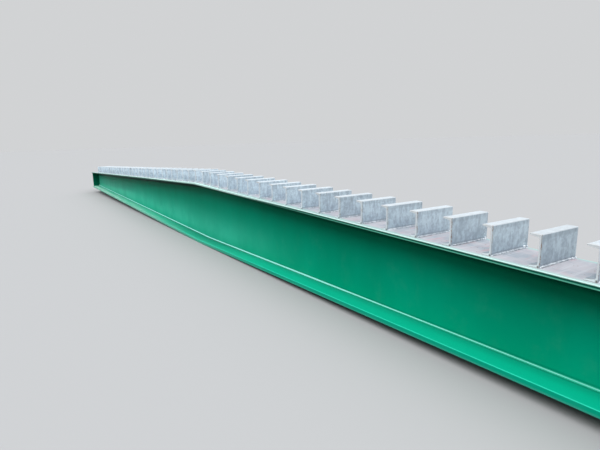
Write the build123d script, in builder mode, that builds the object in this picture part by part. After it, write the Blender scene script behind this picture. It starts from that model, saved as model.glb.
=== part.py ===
from build123d import *
from math import atan, degrees, sqrt
import os

# Double-tapered welded plate girder with channel shear connectors, lengths in mm.
# X runs along the girder, Y across it, Z up. The origin is under mid-length.

os.makedirs("parts", exist_ok=True)

# Girder profile, seen from the side
HALF_LENGTH = 6858.0
DEPTH_MID = 622.3
TOP_FALL = 177.8
BOTTOM_RISE = 107.95

# Plates
FLANGE_WIDTH = 279.4
TOP_THICK = 19.05
BOTTOM_THICK = 28.575
WEB_THICK = 9.525
EDGE_ROUND = 3.0

# Welds between web and flanges
WELD_LEG = 8.0
WELD_CONVEXITY = 0.8

# End stiffeners
STIFF_THICK = 12.7
STIFF_INSET = 25.4
STIFF_SETBACK = 7.9375
STIFF_CLIP = 25.4

# Shear connectors, short lengths of rolled channel
CHANNEL_DEPTH = 127.0
CHANNEL_FLANGE = 44.45
CHANNEL_WEB = 4.826
CHANNEL_MEAN_FLANGE = 8.128
CHANNEL_SLOPE = 1.0 / 6.0
ROOT_RADIUS = 7.0
TOE_RADIUS = 3.0
HEEL_RADIUS = 1.0
CHANNEL_PITCH = 203.2
FRONT_MARGIN = 22.225
BACK_MARGIN = 3.175
BARE_END = 750.0
CHANNELS_IN_NODE = 2

# Sizes that follow from the ones above
half_width = FLANGE_WIDTH / 2.0
half_web = WEB_THICK / 2.0
top_slope = TOP_FALL / HALF_LENGTH
bottom_slope = BOTTOM_RISE / HALF_LENGTH
ENDS = (("left", -1.0), ("right", 1.0))
SIDES = (("front", -1.0), ("back", 1.0))


def crown(x):
    """Height of the top flange's upper face."""
    return DEPTH_MID - top_slope * abs(x)


def crown_inner(x):
    """Height of the top flange's lower face."""
    return crown(x) - TOP_THICK


def sole(x):
    """Height of the bottom flange's lower face."""
    return bottom_slope * abs(x)


def sole_inner(x):
    """Height of the bottom flange's upper face."""
    return sole(x) + BOTTOM_THICK


def side_outline(stations, low, high):
    """Corners of a plate between two of these faces, from station to station."""
    lower = [(x, low(x)) for x in stations]
    upper = [(x, high(x)) for x in reversed(stations)]
    return lower + upper


# Flanges, two plates each, butt-welded at mid-length where the slope changes
for level, low_face, high_face in (("top", crown_inner, crown), ("bottom", sole, sole_inner)):
    for end, along in ENDS:
        with BuildPart() as flange:
            with BuildSketch(Plane.XZ):
                with BuildLine():
                    Polyline(side_outline((0.0, along * HALF_LENGTH), low_face, high_face), close=True)
                make_face()
            extrude(amount=half_width, both=True)
            long_edges = flange.edges().filter_by(lambda edge: edge.length > HALF_LENGTH / 2.0)
            fillet(long_edges, EDGE_ROUND)
        flange.part.label = f"{level}_flange_{end}"
        export_step(flange.part, f"parts/{level}_flange_{end}.step")

# Web plate, deepest at mid-length
stations = (-HALF_LENGTH, 0.0, HALF_LENGTH)
with BuildPart() as web_plate:
    with BuildSketch(Plane.XZ):
        with BuildLine():
            Polyline(side_outline(stations, sole_inner, crown_inner), close=True)
        make_face()
    extrude(amount=half_web, both=True)
web_plate.part.label = "web_plate"
export_step(web_plate.part, "parts/web_plate.step")

# Fillet welds, one run in each of the four corners between web and flanges
for level, face, rise in (("top", crown_inner, -1.0), ("bottom", sole_inner, 1.0)):
    for side, out in SIDES:
        with BuildPart() as web_weld:
            for x in stations:
                with BuildSketch(Plane.YZ.offset(x)):
                    root = Vector(out * half_web, face(x))
                    legs = (Vector(out * WELD_LEG, 0.0), Vector(0.0, rise * WELD_LEG))
                    middle = root + (legs[0] + legs[1]) * (0.5 + WELD_CONVEXITY / WELD_LEG / sqrt(2.0))
                    with BuildLine():
                        Polyline(root + legs[0], root, root + legs[1])
                        ThreePointArc(root + legs[1], middle, root + legs[0])
                    make_face()
            loft(ruled=True)
        web_weld.part.label = f"web_weld_{level}_{side}"
        export_step(web_weld.part, f"parts/web_weld_{level}_{side}.step")

# End stiffeners, upright plates between the flanges, clipped to clear the welds
for end, along in ENDS:
    outer_face = along * (HALF_LENGTH - STIFF_INSET)
    inner_face = along * (HALF_LENGTH - STIFF_INSET - STIFF_THICK)
    for side, out in SIDES:
        at_web = out * half_web
        past_clip = out * (half_web + STIFF_CLIP)
        width = half_width - STIFF_SETBACK - half_web
        with BuildPart() as end_stiffener:
            with BuildSketch(Plane.XZ.offset(-at_web)):
                with BuildLine():
                    Polyline(side_outline((inner_face, outer_face), sole_inner, crown_inner), close=True)
                make_face()
            extrude(amount=-out * width)
            with BuildSketch(Plane.YZ.offset(inner_face)):
                for face, flange_side, turn in ((sole_inner, sole, 1.0), (crown_inner, crown, -1.0)):
                    with BuildLine():
                        Polyline(
                            (at_web, flange_side(inner_face)),
                            (past_clip, flange_side(inner_face)),
                            (past_clip, face(inner_face)),
                            (at_web, face(inner_face) + turn * STIFF_CLIP),
                            close=True,
                        )
                    make_face()
            extrude(amount=along * STIFF_THICK, mode=Mode.SUBTRACT)
        end_stiffener.part.label = f"end_stiffener_{end}_{side}"
        export_step(end_stiffener.part, f"parts/end_stiffener_{end}_{side}.step")

# One shear connector, its heel at the local origin and its toes towards -X
flange_taper = CHANNEL_SLOPE * (CHANNEL_FLANGE - CHANNEL_WEB) / 2.0
toe_thick = CHANNEL_MEAN_FLANGE - flange_taper
root_thick = CHANNEL_MEAN_FLANGE + flange_taper
channel_length = FLANGE_WIDTH - FRONT_MARGIN - BACK_MARGIN
with BuildPart() as channel:
    with BuildSketch(Plane.XZ) as section:
        with BuildLine():
            Polyline(
                (0.0, 0.0),
                (0.0, CHANNEL_DEPTH),
                (-CHANNEL_FLANGE, CHANNEL_DEPTH),
                (-CHANNEL_FLANGE, CHANNEL_DEPTH - toe_thick),
                (-CHANNEL_WEB, CHANNEL_DEPTH - root_thick),
                (-CHANNEL_WEB, root_thick),
                (-CHANNEL_FLANGE, toe_thick),
                (-CHANNEL_FLANGE, 0.0),
                close=True,
            )
        make_face()
        fillet(section.vertices().group_by(Axis.X)[-2], ROOT_RADIUS)
        fillet(section.vertices().group_by(Axis.X)[0].sort_by(Axis.Y)[1:3], TOE_RADIUS)
        fillet(section.vertices().group_by(Axis.X)[-1], HEEL_RADIUS)
    extrude(amount=channel_length / 2.0, both=True)

# Connectors at an even pitch about mid-length, each square to the sloping flange.
# The one at mid-length has a node of its own, the rest are stored in neighbouring pairs.
channel_centre = (FRONT_MARGIN - BACK_MARGIN) / 2.0
full_lean = degrees(atan(top_slope))
each_side = int((HALF_LENGTH - BARE_END) / CHANNEL_PITCH)
groups = {"shear_channel_mid": [0]}
for end, along in ENDS:
    for number, first in enumerate(range(1, each_side + 1, CHANNELS_IN_NODE), start=1):
        last = min(first + CHANNELS_IN_NODE, each_side + 1)
        groups[f"shear_channels_{end}_{number:02d}"] = [along * step for step in range(first, last)]

for name, steps in groups.items():
    with BuildPart() as shear_channels:
        for step in steps:
            x = step * CHANNEL_PITCH
            lean = full_lean if step > 0 else -full_lean
            with Locations(Location((x, channel_centre, crown(x)), (0.0, lean, 0.0))):
                add(channel.part)
    shear_channels.part.label = name
    export_step(shear_channels.part, f"parts/{name}.step")
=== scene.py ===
import math
import random

import bmesh
import bpy
from mathutils import Matrix, Vector


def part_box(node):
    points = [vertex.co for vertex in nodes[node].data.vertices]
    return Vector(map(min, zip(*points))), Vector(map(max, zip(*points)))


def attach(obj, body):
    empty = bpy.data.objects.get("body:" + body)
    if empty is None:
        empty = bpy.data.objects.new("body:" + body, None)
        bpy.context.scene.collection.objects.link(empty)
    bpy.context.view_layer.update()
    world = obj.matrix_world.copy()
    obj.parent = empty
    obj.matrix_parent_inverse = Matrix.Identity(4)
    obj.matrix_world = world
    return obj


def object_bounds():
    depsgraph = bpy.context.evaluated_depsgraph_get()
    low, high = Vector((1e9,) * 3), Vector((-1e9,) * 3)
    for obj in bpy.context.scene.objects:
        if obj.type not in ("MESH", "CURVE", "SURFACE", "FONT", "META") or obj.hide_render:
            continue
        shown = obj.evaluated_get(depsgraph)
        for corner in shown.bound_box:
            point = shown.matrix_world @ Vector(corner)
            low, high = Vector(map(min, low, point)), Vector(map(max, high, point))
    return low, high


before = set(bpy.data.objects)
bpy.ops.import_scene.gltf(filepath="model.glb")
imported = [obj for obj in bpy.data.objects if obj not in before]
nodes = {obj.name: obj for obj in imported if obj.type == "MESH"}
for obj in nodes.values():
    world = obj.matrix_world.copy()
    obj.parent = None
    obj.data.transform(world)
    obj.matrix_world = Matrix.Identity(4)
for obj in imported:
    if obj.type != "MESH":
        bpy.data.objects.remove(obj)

cad_low, cad_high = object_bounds()

# The girder's own sizes in metres, read from the plates. X runs along it, Y across it, Z up.
web_low, web_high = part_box("web_plate")
top_low, top_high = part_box("top_flange_right")
bottom_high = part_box("bottom_flange_right")[1]
HALF_LENGTH = top_high.x
HALF_WIDTH = top_high.y
HALF_WEB = web_high.y
CROWN = top_high.z
TOP_THICK = CROWN - web_high.z
BOTTOM_THICK = web_low.z
TOP_FALL = web_high.z - top_low.z
BOTTOM_RISE = bottom_high.z - BOTTOM_THICK
TOP_SLOPE = TOP_FALL / HALF_LENGTH
BOTTOM_SLOPE = BOTTOM_RISE / HALF_LENGTH

# The connectors, lengths of channel with the heel towards +X
CHANNEL_PITCH = 0.2032
CHANNEL_DEPTH = 0.127
CHANNEL_FLANGE = 0.04445
channel_low, channel_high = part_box("shear_channel_mid")
CHANNEL_FRONT = channel_low.y
CHANNEL_BACK = channel_high.y
CHANNEL_MIDDLE = (CHANNEL_FRONT + CHANNEL_BACK) / 2
CHANNELS_EACH_SIDE = round(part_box("shear_channels_right_15")[1].x / CHANNEL_PITCH)

# Weld beads: their legs, their ripples and how they thin out at the ends
HEEL_WELD = 0.006
TOE_WELD = 0.004
STIFF_WELD = 0.006
STIFF_CLIP = 0.0254
STIFF_EDGE_CLEAR = 0.003
CHANNEL_ENDS_CLEAR = 0.012
BEAD_SIDES = 12
BEAD_CUTS = 12
RIPPLE_RATE = 900.0
RIPPLE_SWELL = 0.10
UNEVEN_SWELL = 0.07
END_THINNING = 0.45

# Lumps where the heel weld stops, and drops of spatter, drawn at random between a pair of numbers.
# A lump's radius, distance out and height are shares of the weld's leg, and the place of a drop of
# spatter along the channel is a share of the weld's length.
WELD_LUMPS = 6
LUMP_STEP = 0.0055
LUMP_SEGMENTS = 8
LUMP_RINGS = 5
LUMP_RADIUS = (0.55, 0.9)
LUMP_OUT = (0.1, 2.0)
LUMP_UP = (0.2, 1.0)
LUMP_RISE = (0.8, 1.3)
DROP_RADIUS = (0.0008, 0.0018)
HIGH_DROP_IN = (0.0, 0.030)
HIGH_DROP_UP = (0.014, 0.050)
HIGH_DROP_RISE = 1.6
SPATTER_DROPS = 7
TOE_DROP_EVERY = 3
SPATTER_AWAY = (0.012, 0.050)
SPATTER_ALONG = (-0.46, 0.48)
SPATTER_RISE = 0.8
SEED = 7

# Camera, placed and turned as in the photograph, which is 600 by 450 pixels. Angles are in radians,
# the sensor is in millimetres. Near and far, below, are as this camera sees them, from the +X end.
PHOTO_WIDTH = 600.0
FOCAL_PIXELS = 462.05
CAMERA_PLACE = Vector((4.5925, -1.7254, CROWN + 0.3969))
CAMERA_TURN = 0.5555
CAMERA_DIP = 0.1815
CAMERA_ROLL = -0.0304
CAMERA_REACH = (0.05, 500.0)
SENSOR = 36.0

# Studio. A lamp's numbers are its azimuth from +X towards +Y, elevation, strength and spread, with
# the angles in degrees.
SKY_COLOUR = (0.97, 0.99, 1.02, 1.0)
SKY_OVERHEAD = 1.05
BACKDROP = (0.64, 0.65, 0.66, 1.0)
FLOOR_SEEN = (0.497, 0.502, 0.508, 1.0)
FLOOR_BOUNCE = (0.08, 0.08, 0.078, 1.0)
FLOOR_ROUGH = 0.9
FLOOR_REACH = 200.0
FLOOR_GAP = 0.0005
SIDE_LAMP = (-80.0, 53.0, 1.5, 42.0)
END_LAMP = (4.0, 30.0, 1.4, 30.0)


def crown(x):
    """Height of the top flange's upper face."""
    return CROWN - TOP_SLOPE * abs(x)


def sole_inner(x):
    """Height of the bottom flange's upper face."""
    return BOTTOM_THICK + BOTTOM_SLOPE * abs(x)


# Shader helpers

def set_inputs(tree, made, inputs):
    """Links or sets a node's inputs."""
    for key, value in inputs.items():
        if isinstance(value, bpy.types.NodeSocket):
            tree.links.new(value, made.inputs[key])
        else:
            made.inputs[key].default_value = value


def add_node(tree, kind, inputs, **settings):
    """Adds a node, sets its options, and links or sets its inputs."""
    made = tree.nodes.new(kind)
    for key, value in settings.items():
        setattr(made, key, value)
    set_inputs(tree, made, inputs)
    return made


def calc(tree, operation, first, second=0.0, third=0.0, clamp=False):
    """One Math node's result."""
    inputs = {0: first, 1: second, 2: third}
    return add_node(tree, "ShaderNodeMath", inputs, operation=operation, use_clamp=clamp).outputs[0]


def multiply(tree, first, *others):
    """The product of several values."""
    for other in others:
        first = calc(tree, "MULTIPLY", first, other)
    return first


def add(tree, first, second):
    """The sum of two values."""
    return calc(tree, "ADD", first, second)


def subtract(tree, first, second):
    """The first value less the second."""
    return calc(tree, "SUBTRACT", first, second)


def multiply_add(tree, value, factor, offset):
    """A value times a factor, plus an offset."""
    return calc(tree, "MULTIPLY_ADD", value, factor, offset)


def absolute(tree, value):
    """A value without its sign."""
    return calc(tree, "ABSOLUTE", value)


def ramp(tree, value, low, high, start=0.0, end=1.0):
    """A smooth step of value from start to end between low and high."""
    inputs = {"Value": value, "From Min": low, "From Max": high, "To Min": start, "To Max": end}
    return add_node(tree, "ShaderNodeMapRange", inputs, interpolation_type="SMOOTHSTEP").outputs["Result"]


def blend(tree, factor, first, second, mode="MIX"):
    """Two colours mixed by a factor."""
    inputs = {0: factor, 6: first, 7: second}
    return add_node(tree, "ShaderNodeMix", inputs, data_type="RGBA", blend_type=mode).outputs[2]


def parts_of(tree, vector):
    """X, Y and Z of a vector."""
    return add_node(tree, "ShaderNodeSeparateXYZ", {0: vector}).outputs


def facing(tree):
    """X, Y and Z of the way the surface faces."""
    return parts_of(tree, tree.nodes.new("ShaderNodeNewGeometry").outputs["Normal"])


def noise(tree, position, scale, detail=3.0, roughness=0.5):
    """A noise texture's grey value."""
    inputs = {"Vector": position, "Scale": scale, "Detail": detail, "Roughness": roughness}
    return add_node(tree, "ShaderNodeTexNoise", inputs, noise_dimensions="3D").outputs["Fac"]


def drawn_noise(tree, position, scale, detail=3.0, roughness=0.5, fineness=1.0):
    """Noise with its own scale along each axis, to draw a pattern out."""
    drawn = add_node(tree, "ShaderNodeVectorMath", {0: position, 1: scale}, operation="MULTIPLY").outputs[0]
    return noise(tree, drawn, fineness, detail, roughness)


def cells(tree, position, scale):
    """Distance to the middle of the nearest cell, and random colour parts for each cell."""
    inputs = {"Vector": position, "Scale": scale, "Randomness": 1.0}
    found = add_node(tree, "ShaderNodeTexVoronoi", inputs, feature="F1").outputs
    return found["Distance"], add_node(tree, "ShaderNodeSeparateColor", {0: found["Color"]}).outputs


def new_group(name, inputs, outputs):
    """An empty node group with named sockets, what it is given, and its output node."""
    group = bpy.data.node_groups.new(name, "ShaderNodeTree")
    kinds = {"value": "NodeSocketFloat", "vector": "NodeSocketVector", "colour": "NodeSocketColor"}
    for way, sockets in (("INPUT", inputs), ("OUTPUT", outputs)):
        for label, kind in sockets.items():
            group.interface.new_socket(label, in_out=way, socket_type=kinds[kind])
    return group, group.nodes.new("NodeGroupInput").outputs, group.nodes.new("NodeGroupOutput")


def use_group(tree, group, inputs):
    """The outputs of a group placed in a material with its own values."""
    return add_node(tree, "ShaderNodeGroup", inputs, node_tree=group).outputs


def new_material(name):
    """A material with its shader, and the object coordinates that its patterns read."""
    material = bpy.data.materials.new(name)
    material.use_nodes = True
    tree = material.node_tree
    tree.nodes.clear()
    shader = tree.nodes.new("ShaderNodeBsdfPrincipled")
    add_node(tree, "ShaderNodeOutputMaterial", {"Surface": shader.outputs[0]})
    place = tree.nodes.new("ShaderNodeTexCoord").outputs["Object"]
    return material, tree, shader, place


def set_look(tree, shader, colour, rough, height):
    """Gives the shader its colour, its roughness and its relief, whose height is in metres."""
    relief = add_node(tree, "ShaderNodeBump", {"Height": height, "Strength": 1.0, "Distance": 1.0})
    set_inputs(tree, shader, {"Base Color": colour, "Roughness": rough, "Normal": relief.outputs[0]})


# Effects shared by several finishes. A pair of numbers is where an effect starts and where it is
# full, and two more are its strength at each. They are metres along the girder, across it or up it,
# the upward part of the way the surface faces, or a noise value.

HEEL_REACH = 0.002
STREAK_EDGE = (0.38, 0.64)
SPECK_EDGE = (0.16, 0.34, 1.0, 0.0)
PLATE_WAVES = (2.4, 1.0, 0.7)
WAVE_HEIGHT = 0.0015
PEEL_SCALE = 260.0
PEEL_HEIGHT = 0.00001
DUST_SCALE = 7.0
DUST_EDGE = (0.48, 0.74)
TONE_SCALE = (3.0, 3.0, 0.8)
TORCH_LINES = (420.0, 1.0, 22.0)
TORCH_LINE_HEIGHT = 0.0003
PLATE_EDGE = (HALF_WIDTH - 0.0012, HALF_WIDTH - 0.0004)
ZINC_GRAIN_SCALE = 95.0
ZINC_CLOUD_SCALE = 11.0
ZINC_MOTTLE_SCALE = 85.0
ZINC_MOTTLE_DRAW = (1.0, 1.0, 0.7)
ZINC_STREAKS = {"Streaks per metre": 48.0, "Length": 0.06}
ZINC_STREAK_HEIGHT = 0.00012
ZINC_FINE_SCALE = 420.0
ZINC_FINE_HEIGHT = 0.00008
ZINC_ROUGH = 0.42
ZINC_ROUGH_CLOUD = 0.22
GRAIN_SHARE = 0.14
STREAK_SHARE = 0.18
CLOUD_SHARE = 0.34
MOTTLE_SHARE = 0.44
ZINC_LEVEL = (0.34, 0.74)


def make_flange_place():
    """Place above the sloping top flange, across it and behind a channel's heel, with its number."""
    group, given, result = new_group(
        "Place on the flange",
        {"Position": "vector"},
        {"Height": "value", "Behind heel": "value", "Across": "value", "Channel": "value"},
    )
    parts = parts_of(group, given["Position"])
    fall = multiply(group, absolute(group, parts["X"]), TOP_SLOPE)
    height = subtract(group, add(group, parts["Z"], fall), CROWN)
    lean = multiply(group, calc(group, "SIGN", parts["X"]), TOP_SLOPE)
    upright = subtract(group, parts["X"], multiply(group, lean, height))
    step = calc(group, "DIVIDE", subtract(group, upright, HEEL_REACH), CHANNEL_PITCH)
    number = calc(group, "CEIL", step)
    behind = multiply(group, subtract(group, number, step), CHANNEL_PITCH)
    found = {"Height": height, "Behind heel": behind, "Across": parts["Y"], "Channel": number}
    set_inputs(group, result, found)
    return group


def make_streaks():
    """Upright streaks, as rain and running zinc leave them."""
    group, given, result = new_group(
        "Upright streaks",
        {"Position": "vector", "Streaks per metre": "value", "Length": "value"},
        {"Mask": "value"},
    )
    rise = calc(group, "DIVIDE", 1.0, given["Length"])
    across = given["Streaks per metre"]
    scale = add_node(group, "ShaderNodeCombineXYZ", {"X": across, "Y": across, "Z": rise}).outputs[0]
    fine = drawn_noise(group, given["Position"], scale, detail=4.0, roughness=0.6)
    set_inputs(group, result, {"Mask": ramp(group, fine, *STREAK_EDGE)})
    return group


def make_specks():
    """Small scattered specks, more of them where the amount is higher."""
    group, given, result = new_group(
        "Specks",
        {"Position": "vector", "Specks per metre": "value", "Amount": "value"},
        {"Mask": "value"},
    )
    distance, pick = cells(group, given["Position"], given["Specks per metre"])
    chosen = calc(group, "LESS_THAN", pick["Red"], given["Amount"])
    set_inputs(group, result, {"Mask": multiply(group, chosen, ramp(group, distance, *SPECK_EDGE))})
    return group


def make_paint_skin():
    """The skin of sprayed gloss paint: plate waves, orange peel, a light film of dust and its tone."""
    group, given, result = new_group(
        "Sprayed paint skin",
        {"Position": "vector", "Waves": "value"},
        {"Height": "value", "Dust": "value", "Tone": "value"},
    )
    position = given["Position"]
    wave = drawn_noise(group, position, PLATE_WAVES, detail=2.0)
    peel = noise(group, position, PEEL_SCALE, detail=2.0)
    waves = multiply(group, wave, WAVE_HEIGHT, given["Waves"])
    height = add(group, waves, multiply(group, peel, PEEL_HEIGHT))
    dust = ramp(group, noise(group, position, DUST_SCALE, detail=6.0, roughness=0.65), *DUST_EDGE)
    tone = drawn_noise(group, position, TONE_SCALE)
    set_inputs(group, result, {"Height": height, "Dust": dust, "Tone": tone})
    return group


def make_cut_edges():
    """Fine upright lines that a cutting torch leaves on the long edges of a flange plate."""
    group, given, result = new_group("Torch-cut edges", {"Position": "vector"}, {"Height": "value"})
    from_middle = absolute(group, parts_of(group, given["Position"])["Y"])
    on_edge = ramp(group, from_middle, *PLATE_EDGE)
    lines = drawn_noise(group, given["Position"], TORCH_LINES, roughness=0.6)
    set_inputs(group, result, {"Height": multiply(group, lines, on_edge, TORCH_LINE_HEIGHT)})
    return group


def make_zinc_skin():
    """Hot-dip zinc: dull frosted grains, clouding, mottling and running streaks."""
    group, given, result = new_group(
        "Hot-dip zinc skin",
        {"Position": "vector", "Light": "colour", "Dark": "colour"},
        {"Colour": "colour", "Roughness": "value", "Height": "value"},
    )
    position = given["Position"]
    grain = cells(group, position, ZINC_GRAIN_SCALE)[1]["Green"]
    cloud = noise(group, position, ZINC_CLOUD_SCALE, detail=4.0, roughness=0.62)
    mottle = drawn_noise(
        group, position, ZINC_MOTTLE_DRAW, detail=5.0, roughness=0.65, fineness=ZINC_MOTTLE_SCALE
    )
    streak = use_group(group, streaks, {"Position": position, **ZINC_STREAKS})["Mask"]
    mixed = multiply(group, streak, STREAK_SHARE)
    for pattern, share in ((grain, GRAIN_SHARE), (cloud, CLOUD_SHARE), (mottle, MOTTLE_SHARE)):
        mixed = multiply_add(group, pattern, share, mixed)
    colour = blend(group, ramp(group, mixed, *ZINC_LEVEL), given["Dark"], given["Light"])
    rough = add(group, ZINC_ROUGH, multiply(group, cloud, ZINC_ROUGH_CLOUD))
    fine = multiply(group, noise(group, position, ZINC_FINE_SCALE), ZINC_FINE_HEIGHT)
    height = add(group, multiply(group, streak, ZINC_STREAK_HEIGHT), fine)
    set_inputs(group, result, {"Colour": colour, "Roughness": rough, "Height": height})
    return group


flange_place = make_flange_place()
streaks = make_streaks()
specks = make_specks()
paint_skin = make_paint_skin()
zinc_skin = make_zinc_skin()
cut_edges = make_cut_edges()

# Finishes. Colours are linear.

GREEN = (0.0, 0.46, 0.275, 1.0)
GREEN_DEEP = (0.0, 0.41, 0.24, 1.0)
# Painted light: a brighter green for upward faces
LIT_TOP_GREEN = (0.0, 0.60, 0.37, 1.0)
# Painted shade: dark greens laid where other parts block the light, and a still darker painted shadow
PAINTED_SHADE_DEEP = (0.0, 0.13, 0.08, 1.0)
PAINTED_SHADE_GREEN = (0.0, 0.09, 0.06, 1.0)
SHADOW_GREEN = (0.0, 0.03, 0.02, 1.0)
DUST = (0.16, 0.50, 0.36, 1.0)
RUST = (0.22, 0.10, 0.045, 1.0)
PAINT_TONE = (0.3, 0.7)
DUST_SHARE = 0.07
PAINT_ROUGH = 0.46
DUST_ROUGH = 0.12
PAINT_GLOSS = 0.015


def green_paint(tree, place, waves):
    """Colour, roughness and height of the green gloss paint."""
    skin = use_group(tree, paint_skin, {"Position": place, "Waves": waves})
    colour = blend(tree, ramp(tree, skin["Tone"], *PAINT_TONE), GREEN_DEEP, GREEN)
    colour = blend(tree, multiply(tree, skin["Dust"], DUST_SHARE), colour, DUST)
    rough = add(tree, PAINT_ROUGH, multiply(tree, skin["Dust"], DUST_ROUGH))
    return colour, rough, skin["Height"]


# The web
# Pale runs, and a film and far paleness that are partly a painted reflection of the backdrop at a grazing
# view
RUNS_AND_REFLECTION_GREEN = (0.14, 1.0, 0.75, 1.0)
FAR_DUST_AND_REFLECTION = (0.35, 0.60, 0.49, 1.0)
WEB_WAVES = 1.0
WEB_FILM_ALONG = (2.3, -0.3)
WEB_FILM_FAR = (-1.0, -5.0, 0.0, 0.10)
WEB_RUNS = {"Streaks per metre": 2.6, "Length": 0.5}
RUNS_SHARE = 0.13
WEB_FILM_SHARE = 0.30
WEB_FILM_TOP = (0.38, 0.09)
WEB_FILM_FOOT = (0.0, 0.09, 0.55, 1.0)
WEB_FAR_DUST_AND_REFLECTION = (-2.5, -5.5, 0.0, 0.14)
# Painted shade on the web: a band under the top flange towards the far end, under the flange all along, just
# above the foot and on the upper web
FAR_BAND_LOW = (0.30, 0.22)
FAR_BAND_HIGH = (0.09, 0.17)
FAR_BAND_ALONG = (-2.5, -4.0, 0.0, 0.25)
FLANGE_SHADE = (0.075, 0.035, 0.0, 0.85)
FLANGE_DEEP_SHADE = (0.050, 0.038, 0.0, 0.75)
FOOT_SHADE = (0.020, 0.011, 0.0, 0.35)
UPPER_WEB_SHADE = (0.12, 0.35, 0.0, 0.12)


def make_web_paint(name):
    """Green paint with a pale film and runs near the foot, partly painted reflection towards the far end, a
    paler far end, partly dust and partly painted reflection, and painted shade under the top flange, on the
    upper web and just above the foot.
    """
    material, tree, shader, place = new_material(name)
    set_inputs(tree, shader, {"Specular IOR Level": PAINT_GLOSS})
    colour, rough, height = green_paint(tree, place, WEB_WAVES)
    parts = parts_of(tree, place)
    along = parts["X"]
    from_mid_length = absolute(tree, along)
    above_foot = subtract(tree, parts["Z"], multiply(tree, from_mid_length, BOTTOM_SLOPE))
    above_foot = subtract(tree, above_foot, BOTTOM_THICK)
    below_flange = multiply_add(tree, from_mid_length, -TOP_SLOPE, CROWN - TOP_THICK)
    below_flange = subtract(tree, below_flange, parts["Z"])
    # A pale film with runs near the foot, growing towards the far end as a painted reflection; the far end
    # paler, partly dust and partly painted reflection
    toward_far_end = add(tree, ramp(tree, along, *WEB_FILM_ALONG), ramp(tree, along, *WEB_FILM_FAR))
    runs = use_group(tree, streaks, {"Position": place, **WEB_RUNS})["Mask"]
    film_and_reflection = multiply(
        tree,
        ramp(tree, above_foot, *WEB_FILM_TOP),
        ramp(tree, above_foot, *WEB_FILM_FOOT),
        multiply_add(tree, runs, RUNS_SHARE, WEB_FILM_SHARE),
        toward_far_end,
    )
    colour = blend(tree, film_and_reflection, colour, RUNS_AND_REFLECTION_GREEN)
    colour = blend(tree, ramp(tree, along, *WEB_FAR_DUST_AND_REFLECTION), colour, FAR_DUST_AND_REFLECTION)
    # Painted shade under the top flange, deepest towards the far end, and painted shade just above the foot
    # and on the upper web
    band = multiply(
        tree,
        ramp(tree, below_flange, *FAR_BAND_LOW),
        ramp(tree, below_flange, *FAR_BAND_HIGH),
        ramp(tree, along, *FAR_BAND_ALONG),
    )
    colour = blend(tree, band, colour, PAINTED_SHADE_GREEN)
    for height_on_web, edges, shade in (
        (below_flange, FLANGE_SHADE, PAINTED_SHADE_GREEN),
        (below_flange, FLANGE_DEEP_SHADE, SHADOW_GREEN),
        (above_foot, FOOT_SHADE, PAINTED_SHADE_DEEP),
        (above_foot, UPPER_WEB_SHADE, PAINTED_SHADE_GREEN),
    ):
        colour = blend(tree, ramp(tree, height_on_web, *edges), colour, shade)
    set_look(tree, shader, colour, rough, height)
    return material


# The end stiffeners
STIFFENER_WAVES = 0.3
# Share of painted shade laid over the stiffeners' green
STIFFENER_PAINTED_SHADE = 0.88


def make_shaded_stiffener_paint(name):
    """The end stiffeners' green, darkened by painted shade."""
    material, tree, shader, place = new_material(name)
    set_inputs(tree, shader, {"Specular IOR Level": PAINT_GLOSS})
    colour, rough, height = green_paint(tree, place, STIFFENER_WAVES)
    set_look(tree, shader, blend(tree, STIFFENER_PAINTED_SHADE, colour, PAINTED_SHADE_DEEP), rough, height)
    return material


# The bottom flange
# A pale film, partly dust and partly painted reflection
PALE_FILM_AND_REFLECTION = (0.56, 0.88, 0.76, 1.0)
RIM_HIGHLIGHT_GREEN = (0.04, 0.86, 0.60, 1.0)
LOW_CORNER_PALE = (0.10, 0.56, 0.45, 1.0)
DUSTY_LOOK = {
    "Specular IOR Level": 0.10,
    "Sheen Weight": 0.05,
    "Sheen Roughness": 0.4,
    "Sheen Tint": (0.75, 1.0, 0.9, 1.0),
}
FLANGE_WAVES = 0.4
UPWARD = (0.1, 0.5)
UPWARD_LIGHT = (0.0, 1.0, 0.5, 0.8)
FILM_DRAW = (1.5, 18.0, 1.0)
FILM_EDGE = (0.2, 0.8, 0.2, 1.0)
FILM_REFLECTION_ALONG = (1.8, -6.5, 0.0, 0.85)
FILM_ACROSS = (0.05, 0.132, 0.6, 1.6)
WELD_SHADE_ACROSS = (0.090, 0.020, 0.0, 0.30)
WELD_LINE_ACROSS = (0.030, 0.016)
WELD_LINE_ALONG = (2.6, 0.6, 0.35, 0.60)
BROAD_SHADE_NEAR = (1.2, 0.2, 0.0, 0.36)
BROAD_SHADE_FAR = (-2.0, -0.4, 0.05, 1.0)
BROAD_SHADE_ACROSS = (0.136, 0.100)
SIDE_REFLECTION_ALONG = (1.8, -3.0, 0.0, 0.5)
LOW_CORNER = (0.014, 0.003)
LOW_CORNER_FACING = (-0.9, -0.6)
LOW_CORNER_SHARE = 0.5
UPPER_RIM = (HALF_WIDTH - 0.005, HALF_WIDTH - 0.002)
UPPER_RIM_SHARE = 0.85


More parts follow.
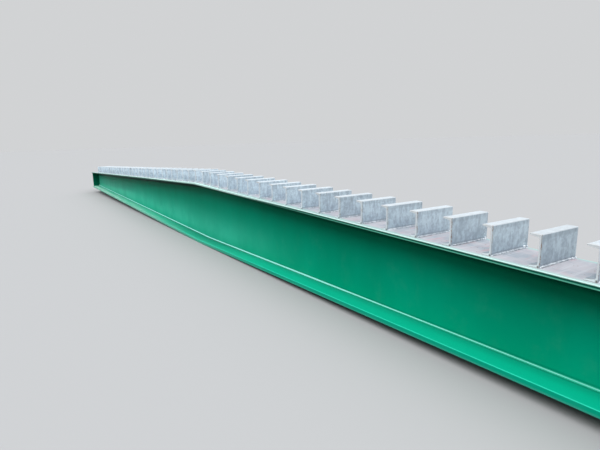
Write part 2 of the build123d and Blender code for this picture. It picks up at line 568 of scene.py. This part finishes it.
def make_dusty_paint_with_painted_light(name):
    """Green paint with dust, painted light on its upward faces, a painted highlight on the upper rims,
    painted shade beside the weld, a pale film that is partly dust and partly painted reflection, and paler
    lower corners.
    """
    material, tree, shader, place = new_material(name)
    set_inputs(tree, shader, DUSTY_LOOK)
    colour, rough, height = green_paint(tree, place, FLANGE_WAVES)
    height = add(tree, height, use_group(tree, cut_edges, {"Position": place})["Height"])
    parts = parts_of(tree, place)
    along = parts["X"]
    from_middle = absolute(tree, parts["Y"])
    above_sole = multiply_add(tree, absolute(tree, along), -BOTTOM_SLOPE, parts["Z"])
    up = facing(tree)["Z"]
    upward = ramp(tree, up, *UPWARD)
    # Painted light: upward faces of the bottom flange a brighter green
    colour = blend(tree, ramp(tree, upward, *UPWARD_LIGHT), colour, LIT_TOP_GREEN)
    # A pale film on upward faces, growing towards the far end: partly dust, partly painted reflection of the
    # backdrop
    film_and_reflection = multiply(
        tree,
        ramp(tree, drawn_noise(tree, place, FILM_DRAW, detail=4.0, roughness=0.6), *FILM_EDGE),
        ramp(tree, along, *FILM_REFLECTION_ALONG),
        ramp(tree, from_middle, *FILM_ACROSS),
        upward,
    )
    colour = blend(tree, film_and_reflection, colour, PALE_FILM_AND_REFLECTION)
    # Painted shade beside the weld: a band close to it, a thin line at its toe, and a broad darkening around
    # mid-length
    line = multiply(tree, ramp(tree, from_middle, *WELD_LINE_ACROSS), ramp(tree, along, *WELD_LINE_ALONG))
    broad = multiply(
        tree,
        ramp(tree, along, *BROAD_SHADE_NEAR),
        ramp(tree, along, *BROAD_SHADE_FAR),
        ramp(tree, from_middle, *BROAD_SHADE_ACROSS),
    )
    beside_weld = ramp(tree, from_middle, *WELD_SHADE_ACROSS)
    beside_weld = calc(tree, "ADD", beside_weld, add(tree, line, broad), clamp=True)
    colour = blend(tree, multiply(tree, beside_weld, upward), colour, PAINTED_SHADE_DEEP)
    # Painted reflection: the side faces paler towards the far end
    side_reflection = calc(tree, "SUBTRACT", ramp(tree, along, *SIDE_REFLECTION_ALONG), upward, clamp=True)
    colour = blend(tree, side_reflection, colour, PALE_FILM_AND_REFLECTION)
    # Paler along the lower corner of the side faces
    low_corner = multiply(
        tree,
        ramp(tree, above_sole, *LOW_CORNER),
        ramp(tree, up, *LOW_CORNER_FACING),
        subtract(tree, 1.0, upward),
        LOW_CORNER_SHARE,
    )
    colour = blend(tree, low_corner, colour, LOW_CORNER_PALE)
    # Painted highlight along the upper rims
    rim = multiply(tree, ramp(tree, from_middle, *UPPER_RIM), upward, UPPER_RIM_SHARE)
    colour = blend(tree, rim, colour, RIM_HIGHLIGHT_GREEN)
    set_look(tree, shader, colour, rough, height)
    return material


# The welds between web and flanges. Their tilt is 0 on the crest, and above 0 towards the web.
WELD_HIGHLIGHT_GREEN = (0.06, 0.72, 0.48, 1.0)
WELD_CREST_HIGHLIGHT = (0.38, 1.0, 0.90, 1.0)
WELD_GLOSS = 0.15
WELD_WAVES = 0.0
WELD_RIPPLES = {"Scale": 80.0, "Distortion": 2.5, "Detail": 2.0, "Detail Scale": 1.0}
WELD_RIPPLE_HEIGHT = 0.0002
WELD_UPWARD = (0.1, 0.3)
WELD_UPWARD_SHARE = 0.5
# Painted highlight along the crests: its reach, its edge and its patches
CREST_REACH = (3.4, 1.0, 0.16, 0.50)
CREST_EDGE = (1.0, 0.55)
CREST_GLINT_SCALE = 14.0
CREST_GLINT_SHARE = 0.5
CREST_GLINT_ALONG = (4.0, 2.6, 0.35, 0.9)
WELD_AT_WEB = (0.10, 0.45, 0.0, 0.65)


def make_painted_weld(name):
    """Green paint over the ripples of a long weld, with a painted highlight along its crest, painted light
    on the lower welds, and painted shade beside the web and on the upper welds.
    """
    material, tree, shader, place = new_material(name)
    set_inputs(tree, shader, {"Specular IOR Level": WELD_GLOSS})
    colour, rough, height = green_paint(tree, place, WELD_WAVES)
    ripple = add_node(tree, "ShaderNodeTexWave", {"Vector": place, **WELD_RIPPLES}, bands_direction="X")
    height = add(tree, height, multiply(tree, ripple.outputs["Fac"], WELD_RIPPLE_HEIGHT))
    normal = facing(tree)
    tilt = subtract(tree, absolute(tree, normal["Z"]), absolute(tree, normal["Y"]))
    upward = ramp(tree, normal["Z"], *WELD_UPWARD)
    along = parts_of(tree, place)["X"]
    from_crest = calc(tree, "DIVIDE", absolute(tree, tilt), ramp(tree, along, *CREST_REACH))
    # Painted highlight along the crest, patchy, stronger away from the near end and wider towards the far
    # end
    crest_glint = noise(tree, place, CREST_GLINT_SCALE, detail=4.0)
    crest_glint = multiply_add(tree, crest_glint, CREST_GLINT_SHARE, ramp(tree, along, *CREST_GLINT_ALONG))
    crest_glint = multiply(tree, crest_glint, upward)
    # Painted light on the upward lower welds; painted shade on the upper welds and beside the web
    colour = blend(tree, multiply(tree, upward, WELD_UPWARD_SHARE), colour, WELD_HIGHLIGHT_GREEN)
    colour = blend(tree, subtract(tree, 1.0, upward), colour, PAINTED_SHADE_GREEN)
    beside_web = multiply(tree, ramp(tree, tilt, *WELD_AT_WEB), upward)
    colour = blend(tree, beside_web, colour, PAINTED_SHADE_DEEP)
    crest = calc(tree, "MULTIPLY", ramp(tree, from_crest, *CREST_EDGE), crest_glint, clamp=True)
    colour = blend(tree, crest, colour, WELD_CREST_HIGHLIGHT)
    set_look(tree, shader, colour, rough, height)
    return material


# The top flange. Heights on it are measured from its upper face.
PRIMER_LIGHT = (0.62, 0.61, 0.65, 1.0)
PRIMER_DARK = (0.45, 0.50, 0.56, 1.0)
PRIMER_PINK = (0.62, 0.50, 0.54, 1.0)
PRIMER_STROKE = (0.70, 0.72, 0.76, 1.0)
OVERSPRAY_AND_HIGHLIGHT = (0.42, 0.66, 0.62, 1.0)
RIM_HIGHLIGHT_MINT = (0.70, 1.0, 0.94, 1.0)
# The edge faces: a painted light line and painted shade
EDGE_LIGHT_LINE = (0.17, 0.67, 0.48, 1.0)
EDGE_SHADE = (0.0, 0.085, 0.055, 1.0)
FLANGE_GLOSS = 0.15
EDGE_WANDER_SCALE = 30.0
EDGE_WANDER = 0.0012
LAP_NEAR = (2.2, 0.9)
LAP_FAR = (-1.9, 0.0)
LAP_DEPTH = 0.0085
LAP_LESS = (-1.0, -3.0, 0.0, 0.003)
COAT_EDGE = (-0.0045, -0.0028)
COAT_FACING = (-0.5, -0.2)
COAT_ROUGH = 0.3
PATCH_DRAW = (5.0, 9.0, 1.0)
PATCH_EDGE = (0.36, 0.62)
STAIN_DRAW = (24.0, 7.0, 1.0)
STAIN_EDGE = (0.50, 0.70)
STROKE_DRAW = (110.0, 9.0, 1.0)
STROKE_EDGE = (0.50, 0.66)
STROKE_SHARE = 0.5
FLANGE_SPECKS = {"Specks per metre": 90.0, "Amount": 0.03}
SPECK_SHARE = 0.6
OVERSPRAY_WANDER = 5.0
OVERSPRAY_HIGHLIGHT_WIDER = (3.4, 2.2, 0.0, 0.022)
OVERSPRAY_EDGE = (HALF_WIDTH - 0.030, HALF_WIDTH - 0.002)
OVERSPRAY_SHARE = 0.8
RIM_WIDER = (1.6, -0.4, 0.0, 0.022)
RIM_EDGE = (HALF_WIDTH - 0.0045, HALF_WIDTH - 0.0020)
SIDE_FACE = (HALF_WIDTH - 0.0030, HALF_WIDTH - 0.0015)
SIDE_FACE_ALONG = (2.8, 1.4, 0.92, 1.0)
LIT_LINE_TOP = (-0.0112, -0.0130)
LIT_LINE_BOTTOM = (0.0010 - TOP_THICK, 0.0028 - TOP_THICK)
SHADED_ALONG = (2.8, 1.4)
SHADED_SHARE = 0.85


def make_top_flange_finish(name):
    """Pale zinc-rich coat on the upper face, a mint margin along its rims that is partly overspray and
    partly a painted highlight, a painted highlight on the rims, and green below and on the edges, where a
    painted light line runs through painted shade.
    """
    material, tree, shader, place = new_material(name)
    set_inputs(tree, shader, {"Specular IOR Level": FLANGE_GLOSS})
    colour, rough, height = green_paint(tree, place, FLANGE_WAVES)
    height = add(tree, height, use_group(tree, cut_edges, {"Position": place})["Height"])
    where = use_group(tree, flange_place, {"Position": place})
    along = parts_of(tree, place)["X"]
    from_middle = absolute(tree, where["Across"])

    # The pale coat laps over the edge, further down near mid-length
    wander = multiply(tree, noise(tree, place, EDGE_WANDER_SCALE, detail=4.0), EDGE_WANDER)
    lapped = multiply(tree, ramp(tree, along, *LAP_NEAR), ramp(tree, along, *LAP_FAR))
    depth = add(tree, add(tree, where["Height"], wander), multiply(tree, lapped, LAP_DEPTH))
    depth = subtract(tree, depth, ramp(tree, along, *LAP_LESS))
    coat = multiply(tree, ramp(tree, depth, *COAT_EDGE), ramp(tree, facing(tree)["Z"], *COAT_FACING))

    # Its patches, pink stains, brush strokes and rust specks
    patches = drawn_noise(tree, place, PATCH_DRAW, detail=5.0, roughness=0.6)
    pale = blend(tree, ramp(tree, patches, *PATCH_EDGE), PRIMER_DARK, PRIMER_LIGHT)
    stains = drawn_noise(tree, place, STAIN_DRAW, detail=4.0, roughness=0.6)
    pale = blend(tree, ramp(tree, stains, *STAIN_EDGE), pale, PRIMER_PINK)
    strokes = drawn_noise(tree, place, STROKE_DRAW)
    strokes = multiply(tree, ramp(tree, strokes, *STROKE_EDGE), STROKE_SHARE)
    pale = blend(tree, strokes, pale, PRIMER_STROKE)
    rust = use_group(tree, specks, {"Position": place, **FLANGE_SPECKS})["Mask"]
    pale = blend(tree, multiply(tree, rust, SPECK_SHARE), pale, RUST)

    # Overspray, partly a painted highlight, and the bright rim, a painted highlight, both wider away from
    # the near end
    sprayed_and_lit = add(tree, from_middle, multiply(tree, wander, OVERSPRAY_WANDER))
    sprayed_and_lit = add(tree, sprayed_and_lit, ramp(tree, along, *OVERSPRAY_HIGHLIGHT_WIDER))
    sprayed_and_lit = multiply(tree, ramp(tree, sprayed_and_lit, *OVERSPRAY_EDGE), OVERSPRAY_SHARE)
    pale = blend(tree, sprayed_and_lit, pale, OVERSPRAY_AND_HIGHLIGHT)
    from_rim = add(tree, from_middle, ramp(tree, along, *RIM_WIDER))
    pale = blend(tree, ramp(tree, from_rim, *RIM_EDGE), pale, RIM_HIGHLIGHT_MINT)

    # The long edges: painted shade with a painted light line low down, and deeper painted shade away from
    # the near end
    lit_line = multiply(
        tree, ramp(tree, where["Height"], *LIT_LINE_TOP), ramp(tree, where["Height"], *LIT_LINE_BOTTOM)
    )
    edge = blend(tree, lit_line, EDGE_SHADE, EDGE_LIGHT_LINE)
    shaded = multiply(tree, ramp(tree, along, *SHADED_ALONG), SHADED_SHARE)
    edge = blend(tree, shaded, edge, PAINTED_SHADE_GREEN)
    on_side = multiply(tree, ramp(tree, from_middle, *SIDE_FACE), ramp(tree, along, *SIDE_FACE_ALONG))
    colour = blend(tree, on_side, colour, edge)
    rough = add(tree, rough, multiply(tree, coat, COAT_ROUGH))
    set_look(tree, shader, blend(tree, coat, colour, pale), rough, height)
    return material


# The connectors. Heights on them are measured from the flange that they stand on.
ZINC_LIGHT = (0.63, 0.75, 0.83, 1.0)
ZINC_DARK = (0.41, 0.50, 0.58, 1.0)
ZINC_WHITE_AND_HIGHLIGHT = (0.92, 0.97, 1.0, 1.0)
ZINC_SHADE = (0.30, 0.35, 0.40, 1.0)
DRIP_GREY = (0.30, 0.36, 0.41, 1.0)
CUT_TAN = (0.62, 0.56, 0.48, 1.0)
RUST_DARK = (0.10, 0.060, 0.040, 1.0)
ZINC_METAL = 0.25
EACH_SHADE = 0.10
SHADE_ALONG = (1.0, 4.2, 1.08, 0.83)
UNDER_LIP_LOW = (0.104, 0.110)
UNDER_LIP_HIGH = (0.126, 0.120)
UNDER_LIP_SHADE = -0.08
TOP_FACE = (CHANNEL_DEPTH - 0.0010, CHANNEL_DEPTH - 0.0003)
TOP_FACE_ALONG = (2.7, 1.6, 0.0, 0.15)
DRIP_DRAW = (42.0, 42.0, 5.0)
DRIP_EDGE = (0.60, 0.70)
DRIP_UP = (0.030, 0.110)
DRIP_SHARE = 0.75
LIP = (CHANNEL_DEPTH - 0.005, CHANNEL_DEPTH - 0.001)
LIP_ON_TOP = (0.0, 1.0, 0.8, 0.5)
AT_CUT = (CHANNEL_FRONT + 0.0030, CHANNEL_FRONT + 0.0012)
AT_CUT_SHARE = 0.95
NEAR_CUT = (CHANNEL_FRONT + 0.013, CHANNEL_FRONT + 0.009)
NEAR_CUT_ALONG = (1.8, 3.0, 0.3, 1.0)
NEAR_CUT_SHARE = 0.25
FLECK_DRAW = (260.0, 260.0, 80.0)
FLECK_EDGE = (0.49, 0.58)
FLECK_PATCH_SCALE = 22.0
FLECK_PATCH_EDGE = (0.40, 0.54)
FLECK_ON_TOP = (0.0, 1.0, 0.85, 0.3)
ON_CUT = (CHANNEL_FRONT + 0.0006, CHANNEL_FRONT + 0.0002)
CHANNEL_FOOT = (0.016, 0.009)
CHANNEL_FOOT_ALONG = (0.6, 2.0, 0.0, 0.5)
WHITE_FOOT = (0.026, 0.012)
WHITE_FOOT_ALONG = (1.4, -0.4, 0.0, 0.45)
HEEL_STAIN_UP = (0.012, 0.006)
HEEL_STAIN_BEHIND = (0.011, 0.005)
HEEL_STAIN_SHARE = 0.85
TOE_STAIN_UP = (0.0022, 0.0010, 0.0, 0.8)


def make_zinc(name):
    """Hot-dip zinc on a channel, dripped, with rust at the cut, painted highlights whitening its lips and
    cut end, and painted shade at the foot.
    """
    material, tree, shader, place = new_material(name)
    set_inputs(tree, shader, {"Metallic": ZINC_METAL})
    skin = use_group(tree, zinc_skin, {"Position": place, "Light": ZINC_LIGHT, "Dark": ZINC_DARK})
    where = use_group(tree, flange_place, {"Position": place})
    height, across = where["Height"], where["Across"]
    along = parts_of(tree, place)["X"]

    # Each channel's own tone, darker on near channels, with painted shade under the lip and painted light on
    # the tops of far ones
    each = add_node(tree, "ShaderNodeTexWhiteNoise", {"W": where["Channel"]}, noise_dimensions="1D")
    shade = multiply_add(tree, each.outputs["Value"], EACH_SHADE, ramp(tree, along, *SHADE_ALONG))
    under_lip = multiply(tree, ramp(tree, height, *UNDER_LIP_LOW), ramp(tree, height, *UNDER_LIP_HIGH))
    shade = multiply_add(tree, under_lip, UNDER_LIP_SHADE, shade)
    on_top = ramp(tree, height, *TOP_FACE)
    top_painted_light = multiply_add(tree, on_top, ramp(tree, along, *TOP_FACE_ALONG), 1.0)
    shade = multiply(tree, shade, top_painted_light)
    grey = add_node(tree, "ShaderNodeCombineColor", {0: shade, 1: shade, 2: shade}).outputs[0]
    colour = blend(tree, 1.0, skin["Colour"], grey, "MULTIPLY")

    # Drips, and painted highlights in white on the lips and the cut end
    drips = drawn_noise(tree, place, DRIP_DRAW, roughness=0.6)
    drips = multiply(tree, ramp(tree, drips, *DRIP_EDGE), ramp(tree, height, *DRIP_UP), DRIP_SHARE)
    colour = blend(tree, drips, colour, DRIP_GREY)
    lip = multiply(tree, ramp(tree, height, *LIP), ramp(tree, on_top, *LIP_ON_TOP))
    colour = blend(tree, lip, colour, ZINC_WHITE_AND_HIGHLIGHT)
    at_cut = ramp(tree, across, *AT_CUT)
    colour = blend(tree, multiply(tree, at_cut, AT_CUT_SHARE), colour, ZINC_WHITE_AND_HIGHLIGHT)

    # A tan band with rust flecks beside the cut
    near_cut = multiply(
        tree,
        ramp(tree, across, *NEAR_CUT),
        subtract(tree, 1.0, at_cut),
        ramp(tree, along, *NEAR_CUT_ALONG),
    )
    colour = blend(tree, multiply(tree, near_cut, NEAR_CUT_SHARE), colour, CUT_TAN)
    flecks = ramp(tree, drawn_noise(tree, place, FLECK_DRAW, roughness=0.6), *FLECK_EDGE)
    patchy = ramp(tree, noise(tree, place, FLECK_PATCH_SCALE, detail=2.0), *FLECK_PATCH_EDGE)
    rust = multiply(tree, flecks, patchy, near_cut, ramp(tree, on_top, *FLECK_ON_TOP))
    colour = blend(tree, rust, colour, RUST)

    # The foot: painted shade in grey on the near channels, white on the far ones, stained on the cut face
    on_cut = ramp(tree, across, *ON_CUT)
    foot = multiply(tree, ramp(tree, height, *CHANNEL_FOOT), subtract(tree, 1.0, on_cut))
    foot = multiply(tree, foot, ramp(tree, along, *CHANNEL_FOOT_ALONG))
    colour = blend(tree, foot, colour, ZINC_SHADE)
    white_foot = multiply(tree, ramp(tree, height, *WHITE_FOOT), ramp(tree, along, *WHITE_FOOT_ALONG))
    colour = blend(tree, white_foot, colour, ZINC_WHITE_AND_HIGHLIGHT)
    behind = ramp(tree, where["Behind heel"], *HEEL_STAIN_BEHIND)
    at_heel = multiply(tree, ramp(tree, height, *HEEL_STAIN_UP), behind, HEEL_STAIN_SHARE)
    under_toe = ramp(tree, height, *TOE_STAIN_UP)
    stained = multiply(tree, on_cut, calc(tree, "MAXIMUM", at_heel, under_toe))
    colour = blend(tree, stained, colour, RUST_DARK)
    set_look(tree, shader, colour, skin["Roughness"], skin["Height"])
    return material


# The connector welds
WELD_ZINC = {"Light": (0.90, 0.95, 0.99, 1.0), "Dark": (0.44, 0.50, 0.56, 1.0)}
WELD_SPECKS = {"Specks per metre": 160.0, "Amount": 0.06}


def make_zinc_weld(name):
    """Connector welds under a brushed-on zinc coat, with specks of rust."""
    material, tree, shader, place = new_material(name)
    skin = use_group(tree, zinc_skin, {"Position": place, **WELD_ZINC})
    rust = use_group(tree, specks, {"Position": place, **WELD_SPECKS})["Mask"]
    colour = blend(tree, multiply(tree, rust, SPECK_SHARE), skin["Colour"], RUST)
    set_look(tree, shader, colour, skin["Roughness"], skin["Height"])
    return material


def seen_directly(tree):
    """1 for what the camera, a reflection or clear glass shows, 0 for light that bounces."""
    path = tree.nodes.new("ShaderNodeLightPath").outputs
    through = calc(tree, "MAXIMUM", path["Is Glossy Ray"], path["Is Transmission Ray"])
    return calc(tree, "MAXIMUM", path["Is Camera Ray"], through)


def make_floor_finish(name):
    """Pale to the camera and in reflections, darker to the light that bounces off it."""
    material, tree, shader = new_material(name)[:3]
    colour = blend(tree, seen_directly(tree), FLOOR_BOUNCE, FLOOR_SEEN)
    look = {"Base Color": colour, "Roughness": FLOOR_ROUGH, "Specular IOR Level": 0.0}
    set_inputs(tree, shader, look)
    return material


def finish_cad_nodes(finishes):
    """Gives every plate, weld and channel the finish for the start of its name."""
    for name, plate in nodes.items():
        plate.data.materials.clear()
        for start, finish in finishes.items():
            if name.startswith(start):
                plate.data.materials.append(finish)


# Weld beads

def corner_bead(length, leg, cuts, chance):
    """A convex bead along Y in the corner of the planes X = 0 and Z = 0, on the +X +Z side."""
    shape = bmesh.new()
    bmesh.ops.create_cone(
        shape, cap_ends=True, segments=BEAD_SIDES, radius1=leg, radius2=leg, depth=length
    )
    lay_down = Matrix.Rotation(math.pi / 2, 3, "X")
    bmesh.ops.rotate(shape, verts=shape.verts, cent=(0, 0, 0), matrix=lay_down)
    for normal in ((1, 0, 0), (0, 0, 1)):
        everything = shape.verts[:] + shape.edges[:] + shape.faces[:]
        bmesh.ops.bisect_plane(
            shape, geom=everything, plane_co=(0, 0, 0), plane_no=normal, clear_inner=True
        )
        bmesh.ops.holes_fill(shape, edges=[edge for edge in shape.edges if edge.is_boundary])
    along = [edge for edge in shape.edges if abs(edge.verts[0].co.y - edge.verts[1].co.y) > length / 2]
    bmesh.ops.subdivide_edges(shape, edges=along, cuts=cuts, use_grid_fill=True)
    for vert in shape.verts:
        ripple = RIPPLE_SWELL * math.sin(vert.co.y * RIPPLE_RATE)
        swell = 1.0 + ripple + chance.uniform(-UNEVEN_SWELL, UNEVEN_SWELL)
        near_end = max(0.0, abs(vert.co.y) - length / 2 + leg) / leg
        swell *= 1.0 - END_THINNING * near_end
        vert.co.x *= swell
        vert.co.z *= swell
    return shape


def place_bead(into, bead, matrix):
    """Moves a bead's shape into a larger mesh at a place."""
    bmesh.ops.transform(bead, matrix=matrix, verts=bead.verts)
    scratch = bpy.data.meshes.new("scratch")
    bead.to_mesh(scratch)
    bead.free()
    into.from_mesh(scratch)
    bpy.data.meshes.remove(scratch)


def finished_piece(name, shape, material):
    """Turns a bmesh into a piece that rides on the girder."""
    bmesh.ops.recalc_face_normals(shape, faces=shape.faces)
    mesh = bpy.data.meshes.new(name)
    shape.to_mesh(mesh)
    shape.free()
    for face in mesh.polygons:
        face.use_smooth = True
    piece = bpy.data.objects.new(name, mesh)
    bpy.context.scene.collection.objects.link(piece)
    mesh.materials.append(material)
    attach(piece, "root")


def channel_place(step):
    """The place of a channel's heel line on the sloping flange."""
    x = step * CHANNEL_PITCH
    lean = math.atan(TOP_SLOPE) * (1.0 if step > 0 else -1.0)
    return Matrix.Translation((x, CHANNEL_MIDDLE, crown(x))) @ Matrix.Rotation(lean, 4, "Y")


def at_place(place, rise):
    """A place for a round shape, flattened or raised by its rise."""
    return Matrix.Translation(place) @ Matrix.Diagonal((1.0, 1.0, rise, 1.0))


def add_drop(into, place, chance, rise):
    """A drop of weld metal sunk into the surface it lies on."""
    radius = chance.uniform(*DROP_RADIUS)
    bmesh.ops.create_icosphere(into, subdivisions=1, radius=radius, matrix=at_place(place, rise))


def add_lump(into, place, radius, rise):
    """A rounded lump where a weld was stopped."""
    spot = at_place(place, rise)
    bmesh.ops.create_uvsphere(
        into, u_segments=LUMP_SEGMENTS, v_segments=LUMP_RINGS, radius=radius, matrix=spot
    )


def one_connector_weld(chance):
    """Heel and toe welds of one channel, lumpy where the heel weld stops, with spatter beside them."""
    length = CHANNEL_BACK - CHANNEL_FRONT - CHANNEL_ENDS_CLEAR
    weld = bmesh.new()
    at_toe = Matrix.Translation((-CHANNEL_FLANGE, 0, 0)) @ Matrix.Scale(-1.0, 4, (1, 0, 0))
    for leg, place in ((HEEL_WELD, Matrix.Identity(4)), (TOE_WELD, at_toe)):
        place_bead(weld, corner_bead(length, leg, BEAD_CUTS, chance), place)
    for lump in range(WELD_LUMPS):
        radius = chance.uniform(*LUMP_RADIUS) * HEEL_WELD
        out = chance.uniform(*LUMP_OUT) * HEEL_WELD
        up = chance.uniform(*LUMP_UP) * (2.0 * HEEL_WELD - out)
        place = (out, length / 2 - LUMP_STEP * lump, up)
        add_lump(weld, place, radius, chance.uniform(*LUMP_RISE))
        place = (0.0, length / 2 - chance.uniform(*HIGH_DROP_IN), chance.uniform(*HIGH_DROP_UP))
        add_drop(weld, place, chance, HIGH_DROP_RISE)
    for drop in range(SPATTER_DROPS):
        away = chance.uniform(*SPATTER_AWAY)
        if drop % TOE_DROP_EVERY == 0:
            away = -CHANNEL_FLANGE - away
        add_drop(weld, (away, chance.uniform(*SPATTER_ALONG) * length, 0.0), chance, SPATTER_RISE)
    return weld


def make_connector_welds(material):
    """The welds of every channel, in one piece for each half of the girder."""
    chance = random.Random(SEED)
    halves = {
        "left": range(-CHANNELS_EACH_SIDE, 1),
        "right": range(1, CHANNELS_EACH_SIDE + 1),
    }
    for end, steps in halves.items():
        welds = bmesh.new()
        for step in steps:
            place_bead(welds, one_connector_weld(chance), channel_place(step))
        finished_piece(f"connector_welds_{end}", welds, material)


def make_stiffener_welds(material):
    """Welds on both faces of each end stiffener, to the web and to both flanges."""
    chance = random.Random(SEED + 1)
    for end, along in (("left", -1.0), ("right", 1.0)):
        welds = bmesh.new()
        for side, out in (("front", -1.0), ("back", 1.0)):
            low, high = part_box(f"end_stiffener_{end}_{side}")
            inner = HALF_WEB + STIFF_CLIP
            outer = max(abs(low.y), abs(high.y)) - STIFF_EDGE_CLEAR
            for x, face in ((low.x, -1.0), (high.x, 1.0)):
                flange_low = sole_inner(x)
                flange_high = crown(x) - TOP_THICK
                foot = flange_low + STIFF_CLIP
                head = flange_high - STIFF_CLIP
                upright = Matrix(((face, 0, 0), (0, 0, out), (0, 1, 0))).to_4x4()
                middle = Matrix.Translation((x, out * HALF_WEB, (foot + head) / 2))
                bead = corner_bead(head - foot, STIFF_WELD, 2 * BEAD_CUTS, chance)
                place_bead(welds, bead, middle @ upright)
                for height, slope, turn in (
                    (flange_low, BOTTOM_SLOPE, 1.0),
                    (flange_high, -TOP_SLOPE, -1.0),
                ):
                    bead = corner_bead(outer - inner, STIFF_WELD, BEAD_CUTS, chance)
                    lean = Matrix.Rotation(-math.atan(slope * along), 4, "Y")
                    flip = Matrix.Diagonal((face, 1.0, turn, 1.0))
                    middle = Matrix.Translation((x, out * (inner + outer) / 2, height))
                    place_bead(welds, bead, middle @ lean @ flip)
        finished_piece(f"stiffener_welds_{end}", welds, material)


# Floor, light and camera

def make_floor(material):
    """A wide plain floor under the girder."""
    shape = bmesh.new()
    bmesh.ops.create_grid(shape, x_segments=2, y_segments=2, size=FLOOR_REACH)
    mesh = bpy.data.meshes.new("floor")
    shape.to_mesh(mesh)
    shape.free()
    mesh.transform(Matrix.Translation((0, 0, cad_low.z - FLOOR_GAP)))
    mesh.materials.append(material)
    floor = bpy.data.objects.new("floor", mesh)
    bpy.context.scene.collection.objects.link(floor)


def light_the_studio():
    """A soft sky, brightest overhead and dark at the horizon, shown as a plain pale backdrop."""
    world = bpy.data.worlds.new("studio")
    bpy.context.scene.world = world
    world.use_nodes = True
    tree = world.node_tree
    tree.nodes.clear()
    direction = tree.nodes.new("ShaderNodeTexCoord").outputs["Generated"]
    height = calc(tree, "MAXIMUM", parts_of(tree, direction)["Z"], 0.0)
    level = multiply(tree, height, SKY_OVERHEAD)
    sky = add_node(tree, "ShaderNodeBackground", {"Color": SKY_COLOUR, "Strength": level}).outputs[0]
    backdrop = add_node(tree, "ShaderNodeBackground", {"Color": BACKDROP, "Strength": 1.0}).outputs[0]
    shown = add_node(tree, "ShaderNodeMixShader", {0: seen_directly(tree), 1: sky, 2: backdrop})
    add_node(tree, "ShaderNodeOutputWorld", {"Surface": shown.outputs[0]})


def make_lamp(name, azimuth, elevation, strength, spread):
    """A distant soft lamp, aimed at the girder."""
    data = bpy.data.lights.new(name, "SUN")
    data.energy = strength
    data.angle = math.radians(spread)
    lamp = bpy.data.objects.new(name, data)
    swing = Matrix.Rotation(math.radians(azimuth), 4, "Z")
    tip = Matrix.Rotation(math.radians(90.0 - elevation), 4, "Y")
    lamp.matrix_world = swing @ tip
    bpy.context.scene.collection.objects.link(lamp)


def make_camera():
    """The photograph's viewpoint, with its roll."""
    ahead = (-math.cos(CAMERA_TURN), math.sin(CAMERA_TURN))
    level_run = math.cos(CAMERA_DIP)
    forward = Vector((ahead[0] * level_run, ahead[1] * level_run, -math.sin(CAMERA_DIP)))
    level = forward.cross(Vector((0, 0, 1))).normalized()
    upright = level.cross(forward)
    right = math.cos(CAMERA_ROLL) * level + math.sin(CAMERA_ROLL) * upright
    up = -math.sin(CAMERA_ROLL) * level + math.cos(CAMERA_ROLL) * upright
    data = bpy.data.cameras.new("camera")
    data.sensor_width = SENSOR
    data.lens = FOCAL_PIXELS / PHOTO_WIDTH * SENSOR
    data.clip_start, data.clip_end = CAMERA_REACH
    camera = bpy.data.objects.new("camera", data)
    turned = Matrix((right, up, -forward)).transposed().to_4x4()
    camera.matrix_world = Matrix.Translation(CAMERA_PLACE) @ turned
    bpy.context.scene.collection.objects.link(camera)
    bpy.context.scene.camera = camera


shaded_stiffener_paint = make_shaded_stiffener_paint("stiffener_green_with_painted_shade")
finish_cad_nodes({
    "web_plate": make_web_paint("web_green_paint"),
    "web_weld": make_painted_weld("painted_weld"),
    "top_flange": make_top_flange_finish("green_paint_and_zinc_top"),
    "bottom_flange": make_dusty_paint_with_painted_light("dusty_green_with_painted_light"),
    "end_stiffener": shaded_stiffener_paint,
    "shear_channel": make_zinc("hot_dip_zinc"),
})
make_connector_welds(make_zinc_weld("zinc_coated_weld"))
make_stiffener_welds(shaded_stiffener_paint)
make_floor(make_floor_finish("pale_floor"))
light_the_studio()
make_lamp("side_lamp", *SIDE_LAMP)
make_lamp("end_lamp", *END_LAMP)
make_camera()
bpy.context.scene.view_settings.view_transform = "Standard"
